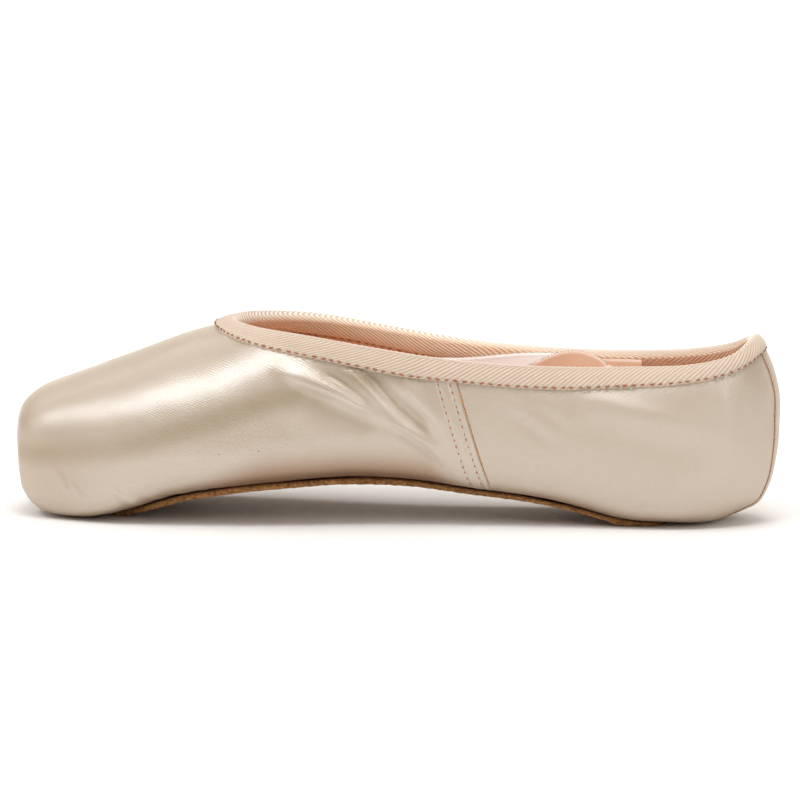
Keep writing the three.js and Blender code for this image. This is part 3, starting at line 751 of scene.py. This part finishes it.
def leather_finish():
    finish = Finish("sole_leather", Specular_IOR_Level=0.3)
    edge = finish.mark("edge")
    grain = finish.noise(420, 5.0, 0.62)
    streak = finish.noise(1500, 3.0, 0.65, stretch=(0.6, 0.6, 1))
    cloud = finish.noise(38, 4.0)
    face = finish.blend(cloud, "8E6B4C", "A9886A")
    face = finish.blend(finish.smooth_step(grain, 0.45, 0.75) * 0.5, face, "6B4A30")
    cut = finish.blend(finish.smooth_step(streak, 0.3, 0.75), "724A26", "BA8852")
    finish.set("Base Color", finish.blend(edge, face, cut))
    rough = grain + streak * edge
    finish.set("Roughness", cloud * 0.15 + 0.75)
    finish.set("Normal", finish.bump(rough, 0.0004, 0.7))
    return finish.material


def ribbon_finish():
    finish = Finish("ribbon_satin", Sheen_Weight=0.3, Sheen_Roughness=0.3, Sheen_Tint="FFF0EC")
    matte_back_painted_shade, across = finish.mark("matte_back_painted_shade"), finish.mark("across")
    thread = finish.wave(across, 0.55)
    # the back face is matte, and painted peach as shade and the lining's warm bounce light
    tone = finish.blend(matte_back_painted_shade, "FFF8F4", "F0C6A8")
    half = RIBBON_WIDTH / 2
    edge = finish.smooth_step(finish.math("ABSOLUTE", across), half - 1.3, half - 1.0)
    finish.set("Base Color", finish.blend(edge * 0.35, tone, "F4E3D8"))
    finish.set("Roughness", matte_back_painted_shade * 0.25 + thread * 0.08 + 0.28)
    finish.set("Normal", finish.bump(thread + edge, 0.00004, 0.5))
    return finish.material


def thread_finish(name, code):
    finish = Finish(name, Roughness=0.55, Sheen_Weight=0.4, Sheen_Roughness=0.4)
    fibre = finish.noise(3200, 2.0)
    dark = tuple(c * 0.62 for c in colour(code)[:3]) + (1.0,)
    finish.set("Base Color", finish.blend(fibre * 0.6, code, dark))
    finish.set("Normal", finish.bump(fibre, 0.00005, 0.7))
    return finish.material


SATIN, LINING, BINDING_TAPE, LEATHER, RIBBON_SATIN = (
    satin_finish(), lining_finish(), binding_finish(), leather_finish(), ribbon_finish())
BROWN_THREAD = thread_finish("brown_thread", "B86A34")
EDGE_THREAD = thread_finish("edge_thread", "D08848")
DARK_FLECK = thread_finish("dark_fleck", "6A4A3A")
PALE_THREAD = thread_finish("pale_thread", "EBDCC8")


# The upper's satin and its lining

def build_upper():
    skin, hidden = respaced(WALL, 118), respaced(WALL, 11)[:, ::-1]
    face, back = lifted(skin, relief(skin)), lifted(hidden, -SATIN_THICKNESS - sunk(hidden))
    points, faces = hoop(np.concatenate([face, back], 1))
    x, z = points[:, 0], points[:, 2]
    # painted brown shade along the sole's edge, deepest under the arch, and a faint painted shade at the
    # toe's end
    edge_x = np.linspace(SOLE[0][0], SOLE[-1][0], 120)
    over_edge = z - np.interp(x, edge_x, underside(edge_x, sole["half"](edge_x)))
    in_arch = ramp(x, -62, -32) * ramp(x, 24, 12)
    painted_shade = (0.45 + 0.42 * in_arch) * (1 - ramp(over_edge, -1, 5 + 9 * in_arch))
    painted_shade *= ramp(x, -104, -90) * ramp(x, 104, 90)
    painted_shade = np.maximum(painted_shade, 0.16 * ramp(x, -80, -105) * ramp(z, 34, 22))
    marks = {"round": round_section(points), "length": x, "behind_seam": seam_distance(points),
             "painted_shade": painted_shade, "fold": creased(points)}
    make_piece("upper_satin", points, faces, SATIN, marks=marks, replaces="upper")


def build_lining():
    gap = 0.1
    hidden, skin = respaced(WALL, 34), respaced(WALL, 60)[:, ::-1]
    front = lifted(hidden, -SATIN_THICKNESS - gap - sunk(hidden))
    face = lifted(skin, -wall_thickness(skin[..., 0]) - LINING_SHARE * sunk(skin))
    points, faces = hoop(np.concatenate([front, face], 1))
    marks = {"height": points[:, 2], "length": points[:, 0]}
    make_piece("upper_lining", points, faces, LINING, marks=marks)


# The binding: a ribbed tape folded over the collar

TAPE_RIB_PITCH, TAPE_STEPS_PER_RIB = 1.8, 7
# The tape's width down a flank and over the crest, and how far down below the collar the wall is read.
TAPE_FLANK, TAPE_CREST = 5.6, 2.2
BAND_DEPTH, BAND_ROWS = 8, 17


def around(values, place):
    """Values kept at the wall lines, read at other places round the shoe."""
    count = len(values)
    i = np.floor(place).astype(int) % count
    part = (place - np.floor(place)).reshape(-1, *[1] * (values.ndim - 1))
    return values[i] * (1 - part) + values[(i + 1) % count] * part


def collar_band():
    """Rows of the wall at even distances below the collar, with their normals."""
    below = np.linspace(0, BAND_DEPTH, BAND_ROWS)
    rows = np.stack([read_along(line, lengths(line), below) for line in WALL[:, ::-1]])
    return rows, outward(rows)


def build_binding():
    rows, normals = collar_band()
    edge = rows[:, 0]
    ring = np.linalg.norm(np.roll(edge, -1, 0) - edge, axis=1)
    total = ring.sum()
    along_lines, numbers = np.concatenate([[0], np.cumsum(ring)]), np.arange(len(edge) + 1)
    ribs = round(total / TAPE_RIB_PITCH)
    along = np.linspace(0, total, ribs * TAPE_STEPS_PER_RIB, endpoint=False)

    # across the tape: its share of the way up a flank, how far over the crest, and how far from its hem
    flank = np.concatenate([[0, 0.03, 0.09, 0.18], np.linspace(0.28, 1, 9)])
    turn = np.linspace(0, math.pi, 11)[1:-1]
    up = np.concatenate([flank, np.ones(len(turn)), flank[::-1]])
    arch = np.concatenate([0 * flank, turn, np.full(len(flank), math.pi)])
    folded = TAPE_FLANK * up + TAPE_CREST * np.sin(arch)
    # the ribs' slant, on the outside and on the inside
    x_here, y_here = around(edge, np.interp(along, along_lines, numbers))[:, :2].T
    lean = mix(1.9, 1.2, ramp(x_here, 20, 100))
    inner_lean = mix(lean, -1.2, ramp(x_here, 10, 80) * ramp(y_here, -15, 15))
    in_rib = (np.arange(len(along)) % TAPE_STEPS_PER_RIB + 0.5) / TAPE_STEPS_PER_RIB
    rib = np.sin(math.pi * in_rib) ** 0.8

    def section(up, arch, shift, side=None):
        """One line of points round the whole tape, with its normals. side is None on the tape's face, or
        which side of the wall a hidden line lies on, 1 inside and 0 outside."""
        place = np.interp((along - shift) % total, along_lines, numbers)
        rows_here, normals_here = around(rows, place), around(normals, place)
        x = rows_here[:, 0, 0]
        depth, wall = collar["depth"](x), wall_thickness(x)
        hem = np.minimum(up * depth / 1.2, 1)
        bulge = 0.12 + 1.05 * np.sqrt(1 - (1 - hem) ** 2) + 0.38 * math.sin(math.pi * up ** 1.1)
        out = -wall / 2 + (wall / 2 + bulge) * math.cos(arch)
        if side is not None:
            out = 0.06 - side * (wall + 0.12)
        down = depth * (1 - up) - 1.3 * math.sin(arch)
        rising = rows_here[:, 0] - rows_here[:, 2]
        rising /= np.linalg.norm(rising, axis=1, keepdims=True)
        step = BAND_DEPTH / (BAND_ROWS - 1)
        place_down = np.clip(down, 0, BAND_DEPTH - 0.01)[:, None] / step
        base, normal = (read_rows(grid, place_down)[:, 0] for grid in (rows_here, normals_here))
        return base + rising * np.maximum(-down, 0)[:, None] + normal * out[:, None], normal

    made = [section(u, a, f * mix(lean, inner_lean, smooth(a / math.pi)))
            for u, a, f in zip(up, arch, folded)]
    face, normal = (np.stack(lines, 1) for lines in zip(*made))
    proud = np.cross(np.roll(face, -1, 0) - np.roll(face, 1, 0), np.gradient(face, axis=1))
    proud /= np.linalg.norm(proud, axis=-1, keepdims=True)
    proud *= np.sign((proud[:, 6] * normal[:, 6]).sum(-1).mean())
    raised = (rib - 0.62)[:, None] * 0.3 * ramp(folded, 0.4, 2)[None]
    ribbed = face + proud * raised[..., None]

    channel = [section(u, 0.0, TAPE_FLANK * u * slant, side)[0]
               for side, slant, shares in ((1, inner_lean, (0.01, 0.5, 0.96)), (0, lean, (0.96, 0.5, 0.01)))
               for u in shares]
    grid = np.concatenate([ribbed, np.stack(channel, 1)], 1)
    points, faces = hoop(grid)
    even = np.ones(grid.shape[:2])
    # where the inside's painted bounce light and the crest's painted highlight fall
    inside = np.concatenate([ramp(arch / math.pi, 0.35, 0.85), np.ones(3), np.zeros(3)])
    painted_crest_light = np.concatenate([np.sin(arch) ** 3, np.zeros(6)])
    marks = {"rib": even * rib[:, None], "painted_crest_light": even * painted_crest_light, "inside": even * inside}
    make_piece("binding_tape", points, faces, BINDING_TAPE, marks=marks, replaces="binding")
    return face, proud


# Small stitches, each a little flattened bead of thread that lies along its row

def stitch_shape():
    """A bead 2 long and 2 thick that lies along X."""
    steps, ring = 5, 6
    u = np.linspace(-1, 1, steps)[1:-1, None]
    girth = np.sqrt(1 - np.abs(u) ** 2.6)
    angle = np.arange(ring) * 2 * math.pi / ring
    rings = xyz(u, girth * np.cos(angle), girth * np.sin(angle))
    points, (sides, ends) = tube(rings, tips=([-1, 0, 0], [1, 0, 0]))
    # the end faces are turned over, which keeps the ends of the threads dark
    return points, [sides, ends[:, [0, 2, 1]]]


def make_stitches(name, places, ways, normals, half_length, radius, finish, slot):
    """One joined mesh of stitches. Each has a place, a way along its row and a normal."""
    shape, faces = stitch_shape()
    flattened = 0.75
    ways = ways / np.linalg.norm(ways, axis=1, keepdims=True)
    across = np.cross(normals, ways)
    across /= np.linalg.norm(across, axis=1, keepdims=True)
    normals = np.cross(ways, across)
    size = rng.uniform(0.86, 1.14, (len(places), 1, 1))
    ways = ways + across * rng.normal(0, 0.09, (len(places), 1))
    axes = np.stack([half_length * ways, radius * across, radius * flattened * normals], 1)
    points = places[:, None] + size * (shape @ axes)
    first = (np.arange(len(places)) * len(shape))[:, None, None]
    groups = [(g[None] + first).reshape(-1, g.shape[1]) for g in faces]
    return make_piece(name, points.reshape(-1, 3), groups, finish)


def stitch_row(path, normals, pitch, sink=0.0):
    """Evenly spaced places along a path, with the way along it and the normals there."""
    reach = lengths(path)
    count = int(reach[-1] / pitch)
    want = (np.arange(count) + 0.5) * reach[-1] / count + rng.uniform(-0.12, 0.12, count) * pitch
    place, way, normal = (read_along(v, reach, want) for v in (path, np.gradient(path, axis=0), normals))
    return place - normal * sink, way, normal


def joined(rows):
    return [np.concatenate(parts) for parts in zip(*rows)]


def on_satin(path):
    """A path on the last's surface, lifted onto the satin, with its normals."""
    normals = outward(path)
    return path + normals * relief(path)[:, None], normals


def seam_path(offset, side):
    """A line down the wall beside the side seam, from the binding to the sole's edge."""
    top, bottom = 45.2, 13.4
    z = np.linspace(top, bottom, 60)
    return cast(xyz(seam_x(z) + offset * SEAM_SLANT, 0.0, z), np.array([0.0, side, 0.0]))


def build_loose_threads(hem, normals):
    """Short frayed ends that lie below the binding's hem, where the tape was joined and at the heel."""
    places, ways, outs = [], [], []
    for start, end, count in ((60, 76, 20), (99, 108, 18)):
        near = np.flatnonzero((hem[:, 1] < 0) & (hem[:, 0] > start) & (hem[:, 0] < end))
        for i in rng.choice(near, count):
            down = rng.uniform(-0.5, 0.7)
            places.append(hem[i] + normals[i] * 0.3 - np.array([0, 0, down]))
            ways.append([rng.normal(0, 1), 0.1 * rng.normal(), rng.normal(0, 0.35)])
            outs.append(normals[i])
    rows = (np.array(rows) for rows in (places, ways, outs))
    make_stitches("loose_threads", *rows, 0.95, 0.09, PALE_THREAD, "binding")


def build_stitches(face, proud):
    for name, line, sink, half_length, radius in (("binding_stitches", 2, -0.16, 0.8, 0.32),
                                                  ("binding_inner_stitches", -3, -0.12, 0.7, 0.26)):
        row = stitch_row(face[:, line], proud[:, line], 2.7, sink)
        make_stitches(name, *row, half_length, radius, BROWN_THREAD, "binding")
    build_loose_threads(face[:, 1], proud[:, 1])
    for name, offsets, pitch, sink, radius, thread in (
        ("seam_stitches", SEAM_ROWS, 2.1, 0.05, 0.27, BROWN_THREAD),
        ("seam_edge_threads", (0.35,), 0.9, -0.02, 0.19, EDGE_THREAD),
    ):
        rows = [stitch_row(*on_satin(seam_path(offset, side)), pitch, sink)
                for side in (-1, 1) for offset in offsets]
        make_stitches(name, *joined(rows), 0.62, radius, thread, "satin")
    specks = cast(spine_points(np.array([-49.7, -37.7])), np.array([[0, -1, -0.07], [0, -1, -0.09]]))
    places, normals = on_satin(specks)
    ways = np.array([[1.0, 0, 0.2]] * 2)
    make_stitches("dark_specks", places, ways, normals, 0.24, 0.2, DARK_FLECK, "satin")


def eased(first, last, steps):
    """Places from first to last, closer together at both ends."""
    t = np.linspace(0, 1, steps)
    return mix(first, last, mix(t, (1 - np.cos(math.pi * t)) / 2, 0.7))


def mirrored(*shares):
    """Shares of a half width, the same on both sides of the middle."""
    return np.array([*(-share for share in shares[::-1]), 0, *shares])


# The outsole

def build_outsole():
    x = eased(SOLE[0][0], SOLE[-1][0], 320)
    half = sole["half"](x)
    fray = 0.22 * np.sin(x * 2.9 + np.sin(x * 1.3)) + 0.16 * np.sin(x * 6.1 + 1) + 0.3 * np.sin(x * 0.33)
    half = half + fray * ramp(half, 5, 13)
    # the sole's top lies in the upper's skin, its face is level across where it meets the floor
    top_y = mirrored(0.25, 0.5, 0.75, 0.9, 0.965)[None] * (half - 0.3)[:, None]
    line_x = x[:, None]
    top_z = underside(line_x, top_y) - 0.3
    centre = underside(x, 0.0) - 0.4
    ground = np.maximum(0, sole["bottom"](x))
    flat = np.minimum(ground, centre - sole["thick"](x))
    lifted = (top_z - centre[:, None]) * smooth(ground)[:, None]
    low_z = np.minimum(np.maximum(0, flat[:, None] + lifted), top_z - 0.25)
    scuff = 0.1 * np.sin(line_x * 1.7 + top_y * 0.9) * np.sin(top_y * 1.3 + line_x * 0.4)
    low_z = np.maximum(low_z + np.where(low_z > 0.15, scuff, 0), 0)

    def cut_edge(side, order):
        """Rows down one cut edge of the leather, a little rounded and rough."""
        i = -1 if side > 0 else 0
        fine = np.sin(line_x * (4.3 + 7 * order)) * 0.14
        y = side * (half[:, None] + 0.5 * np.sin(math.pi * order) ** 0.5 - 0.25 + fine)
        return xyz(line_x, y, mix(top_z[:, [i]], low_z[:, [i]], order))

    order = np.array([0.12, 0.34, 0.62, 0.88])
    top, low = xyz(line_x, top_y, top_z), xyz(line_x, top_y, low_z)[:, ::-1]
    parts = [top, cut_edge(1, order), low, cut_edge(-1, order[::-1])]
    points, faces = tube(np.concatenate(parts, 1))
    is_edge = np.repeat([0.0, 1.0, 0.0, 1.0], [part.shape[1] for part in parts])
    marks = {"edge": np.concatenate([np.tile(is_edge, len(x)), [1, 1]])}
    make_piece("outsole_leather", points, faces, LEATHER, marks=marks, replaces="outsole")


# The insole and its cover

def build_insole():
    x = eased(INSOLE[0][0], INSOLE[-1][0], 150)
    across = mirrored(0.25, 0.5, 0.75, 0.88, 0.95, 0.985, 1)
    y = across[None] * insole_half(x)[:, None]
    x = x[:, None]
    z = underside(x, y)
    level = -outward(xyz(x, y, z))[..., 2]
    lined = z + (wall_thickness(x) + 0.7) / level
    rolled = INSOLE_THICKNESS * np.sqrt(np.clip(1 - np.abs(across[None]) ** 14, 0, 1))
    top = lined + np.maximum(rolled, 0.3)
    points, faces = tube(np.concatenate([xyz(x, y, top), xyz(x, y, lined)[:, ::-1]], 1))
    marks = {"height": points[:, 1], "length": points[:, 0]}
    make_piece("insole_cover", points, faces, LINING, marks=marks, replaces="insole")


# The strip over the seam at the heel's back

def build_back_strip():
    half_width, thick, clear = 6.2, 0.5, 0.12
    origin = spine_points(np.array([SPINE_HEEL["mid"]]))[0]
    top = WALL[0][::-1]
    first = top[np.argmax(lengths(top) > collar["depth"](top[0, 0]) - 1.2)]
    start = math.atan2(first[2] - origin[2], first[0] - origin[0])
    lift = np.linspace(start, -math.pi / 2 + 0.02, 130)[:, None]
    ways = np.concatenate([np.cos(lift), 0 * lift, np.sin(lift)], 1)
    centre = cast(np.broadcast_to(origin, ways.shape), ways)
    across = mirrored(0.35, 0.7, 0.9, 0.97, 1)
    reach = np.linalg.norm(centre - origin, axis=1)[:, None]
    heading = np.arcsin(np.clip(across[None] * half_width / reach, -1, 1))
    way = xyz(np.cos(lift) * np.cos(heading), np.sin(heading), np.sin(lift) * np.cos(heading))
    skin = cast(np.broadcast_to(origin, way.shape), way)
    skin = skin[(skin[:, 5, 2] > 20) | (skin[:, 5, 0] > 91)]
    normals, raised = outward(skin), relief(skin)
    proud = thick * np.sqrt(np.clip(1 - np.abs(across[None]) ** 8, 0, 1)) + clear
    face = skin + normals * (raised + proud)[..., None]
    back = skin + normals * (raised - 0.1)[..., None]
    face[..., 2] = np.maximum(face[..., 2], 0.02)
    points, faces = tube(np.concatenate([face, back[:, ::-1]], 1))
    none = np.zeros(len(points))
    marks = {"round": points[:, 2], "length": points[:, 1], "behind_seam": none + 1,
             "painted_shade": none, "fold": none}
    make_piece("back_strip_satin", points, faces, SATIN, marks=marks, replaces="back_strip")
    rows = [stitch_row(mix(face[:, side], face[:, inner], 0.4), normals[:, side], 1.7, 0.02)
            for side, inner in ((1, 2), (9, 8))]
    make_stitches("strip_stitches", *joined(rows), 0.5, 0.2, PALE_THREAD, "satin")
    rows = [stitch_row(face[:, side], normals[:, side], 0.9, -0.02) for side in (0, -1)]
    make_stitches("strip_edge_threads", *joined(rows), 0.62, 0.2, EDGE_THREAD, "satin")


# The ribbon, wound up on its edge inside the shoe

def even_curve(stops, count):
    """A smooth path through the stops with evenly spaced points, and its length."""
    route = curve_through(stops, 1500, power=0.5)
    reach = lengths(route)
    return read_along(route, reach, np.linspace(0, reach[-1], count)), reach[-1]


def build_ribbon():
    thick = 0.45
    edge, total = even_curve(RIBBON_ROUTE, 420)
    rows = np.linspace(0, 1, 25)
    way = np.gradient(edge, axis=0)
    side = xyz(way[:, 1], -way[:, 0], 0.0)
    side /= np.linalg.norm(side, axis=1, keepdims=True)
    along = lengths(edge)
    cup = 0.8 * np.sin(math.pi * rows)[None] * np.sin(along / 17)[:, None]
    wave = 0.35 * np.sin(along[:, None] / 6.5 + rows[None] * 4) * rows[None]
    middle = np.repeat(edge[:, None], len(rows), 1)
    middle[..., 2] -= rows[None] * RIBBON_WIDTH
    middle = middle + side[:, None] * (cup + wave)[..., None]
    front, back = (middle + side[:, None] * half for half in (thick / 2, -thick / 2))
    points, faces = tube(np.concatenate([front, back[:, ::-1]], 1))
    turn = total * RIBBON_BACK_SHARE
    first, last = ramp(along, RIBBON_BACK_END + 6, RIBBON_BACK_END), ramp(along, turn, turn + 6)
    # 1 on the matte back face, the one painted peach as shade
    matte_back_painted_shade = np.repeat(np.stack([first + last, 1 - last], 1), len(rows), 1)
    across = (rows - 0.5) * RIBBON_WIDTH
    across = np.tile(np.concatenate([across, across[::-1]]), len(edge))
    marks = {"matte_back_painted_shade": np.concatenate([matte_back_painted_shade.ravel(), [0, 1]]), "across": np.concatenate([across, [0, 0]])}
    ribbon = make_piece("tying_ribbon", points, faces, RIBBON_SATIN, marks=marks,
                        replaces="ribbon")
    loops = []
    for row, upward in ((0, 1.0), (-1, -1.0)):
        path = middle[along > RIBBON_BACK_END + 6, row]
        loops.append(stitch_row(path, np.tile([0.0, 0.0, upward], (len(path), 1)), 1.15, -0.1))
    picot = make_stitches("ribbon_picot", *joined(loops), 0.34, 0.28, PALE_THREAD, "ribbon")


# The room: a pale floor that sweeps up behind, soft lights and the camera

def build_room():
    half_width, front, bend, radius, top = 5.0, -5.0, 1.8, 0.8, 1.0
    finish = Finish("floor", Base_Color="F6F5F3", Roughness=0.95, Specular_IOR_Level=0.2)
    turn = np.linspace(0, math.pi / 2, 17)
    curve = zip(bend + radius * np.sin(turn), radius - radius * np.cos(turn))
    sweep = [(front, 0.0), *curve, (bend + radius, top)]
    points = [(x, float(y), float(z)) for y, z in sweep for x in (-half_width, half_width)]
    faces = [(2 * i, 2 * i + 1, 2 * i + 3, 2 * i + 2) for i in range(len(sweep) - 1)]
    mesh = bpy.data.meshes.new("floor")
    mesh.from_pydata(points, [], faces, shade_flat=False)
    mesh.materials.append(finish.material)
    floor = bpy.data.objects.new("floor", mesh)
    bpy.context.collection.objects.link(floor)
    world = bpy.data.worlds.new("room")
    world.use_nodes = True
    background = world.node_tree.nodes["Background"]
    background.inputs["Color"].default_value = (1.0, 0.955, 0.905, 1)
    background.inputs["Strength"].default_value = 0.36
    scene = bpy.context.scene
    scene.world = world
    scene.view_settings.view_transform = "Standard"
    # the lamps, in metres and watts
    for name, place, aim, size, watts, tint in (
        ("softbox", (-0.72, -0.6, 1.1), (-0.03, 0, 0.03), (1.1, 0.24), 7.2, (0.92, 0.96, 1)),
        ("overhead", (0.12, -0.55, 1.35), (0, 0, 0.03), (0.9, 0.24), 5.0, (1, 0.985, 0.985)),
        ("left", (-1.3, -0.3, 0.45), (-0.1, 0, 0.03), (0.9, 0.5), 1.5, (1, 0.985, 0.985)),
        ("right", (1.0, -0.8, 0.62), (0.1, 0, 0.03), (0.5, 0.6), 2.9, (1, 0.985, 0.985)),
        ("top", (0.1, 0.1, 1.6), (0, 0.1, 0), (2.0, 0.8), 11.0, (1, 0.985, 0.98)),
        ("wash", (0, 1.0, 1.3), (0, 2.2, 0.1), (3.5, 0.5), 60.0, (1, 1, 1)),
    ):
        light = bpy.data.lights.new(name, "AREA")
        light.shape = "RECTANGLE"
        light.size, light.size_y = size
        light.energy = watts
        light.color = tint
        lamp = bpy.data.objects.new(name, light)
        lamp.location = place
        lamp.rotation_euler = (Vector(place) - Vector(aim)).to_track_quat("Z", "Y").to_euler()
        bpy.context.collection.objects.link(lamp)


def build_camera():
    data = bpy.data.cameras.new("camera")
    data.sensor_width = 36
    data.lens = 155.3
    data.shift_x, data.shift_y = 0.0039, 0.0225
    data.clip_start, data.clip_end = 0.05, 20
    azimuth, elevation, distance = math.radians(7), math.radians(8), 1.08
    target = Vector((0, 0, 0.03))
    back = Vector((math.sin(azimuth) * math.cos(elevation), -math.cos(azimuth) * math.cos(elevation),
                   math.sin(elevation)))
    camera = bpy.data.objects.new("camera", data)
    camera.location = target + back * distance
    camera.rotation_euler = back.to_track_quat("Z", "Y").to_euler()
    bpy.context.collection.objects.link(camera)
    bpy.context.scene.camera = camera


build_camera()
build_upper()
build_lining()
tape_face, tape_proud = build_binding()
build_stitches(tape_face, tape_proud)
build_outsole()
build_insole()
build_back_strip()
build_ribbon()
build_room()
